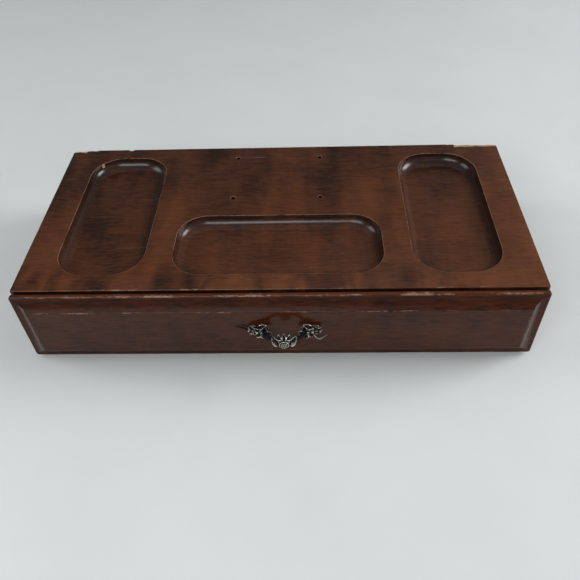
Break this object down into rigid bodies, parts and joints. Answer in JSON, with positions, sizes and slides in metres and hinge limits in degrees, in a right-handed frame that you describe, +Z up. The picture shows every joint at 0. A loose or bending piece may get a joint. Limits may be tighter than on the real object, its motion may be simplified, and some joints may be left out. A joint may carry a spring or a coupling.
{
  "type": "poker chip case",
  "caption": "Low wooden chip case with dished trays in its top, a full-width coved drawer front, a cast floral pull, chip troughs and card wells inside.",
  "frame": {"origin": "on the table, under the centre of the whole case with its pull, drawer closed", "axes": "+X to the right along the long side, +Y towards the back (the drawer opens along -Y), +Z up"},
  "size_m": [0.406, 0.2224, 0.072],
  "materials": {
    "stained_wood": "dark red-brown stain under satin lacquer, worn at the edges",
    "front_wood": "dark red-brown stain under satin lacquer",
    "drawer_wood": "bare light wood",
    "plywood": "bare thin plywood",
    "rack_wood": "routed block, stained",
    "baize": "green baize",
    "foot_felt": "dark felt",
    "aged_silver": "cast metal, antique silver, dark in the hollows",
    "steel": "plain screw steel",
    "washer_brass": "dull brass"
  },
  "bodies": {
    "case": {"top_board": "stained_wood", "left_side_panel": "stained_wood", "right_side_panel": "stained_wood", "back_panel": "stained_wood", "base_panel": "stained_wood", "left_drawer_runner": "drawer_wood", "right_drawer_runner": "drawer_wood", "front_left_foot_pad": "foot_felt", "front_right_foot_pad": "foot_felt", "back_left_foot_pad": "foot_felt", "back_right_foot_pad": "foot_felt", "base_screw_1": "steel", "base_screw_2": "steel", "base_screw_3": "steel", "base_screw_4": "steel", "base_screw_5": "steel", "base_screw_6": "steel"},
    "drawer": {"drawer_front": "front_wood", "drawer_inner_front": "drawer_wood", "drawer_back": "drawer_wood", "drawer_left_side": "drawer_wood", "drawer_right_side": "drawer_wood", "drawer_bottom": "plywood", "chip_rack_left": "rack_wood", "chip_rack_right": "rack_wood", "well_partition_left": "drawer_wood", "well_partition_right": "drawer_wood", "well_divider": "drawer_wood", "well_lining_front": "baize", "well_lining_back": "baize", "drawer_front_screw_1": "steel", "drawer_front_screw_2": "steel", "drawer_front_screw_3": "steel", "drawer_front_screw_4": "steel", "drawer_pull": "aged_silver", "pull_screw_1": "steel", "pull_screw_2": "steel", "pull_washer_1": "washer_brass", "pull_washer_2": "washer_brass"}
  },
  "joints": [
    {"name": "drawer_slide", "type": "slide", "parent": "case", "child": "drawer", "axis": [0, -1, 0], "range_m": [0, 0.14]}
  ]
}
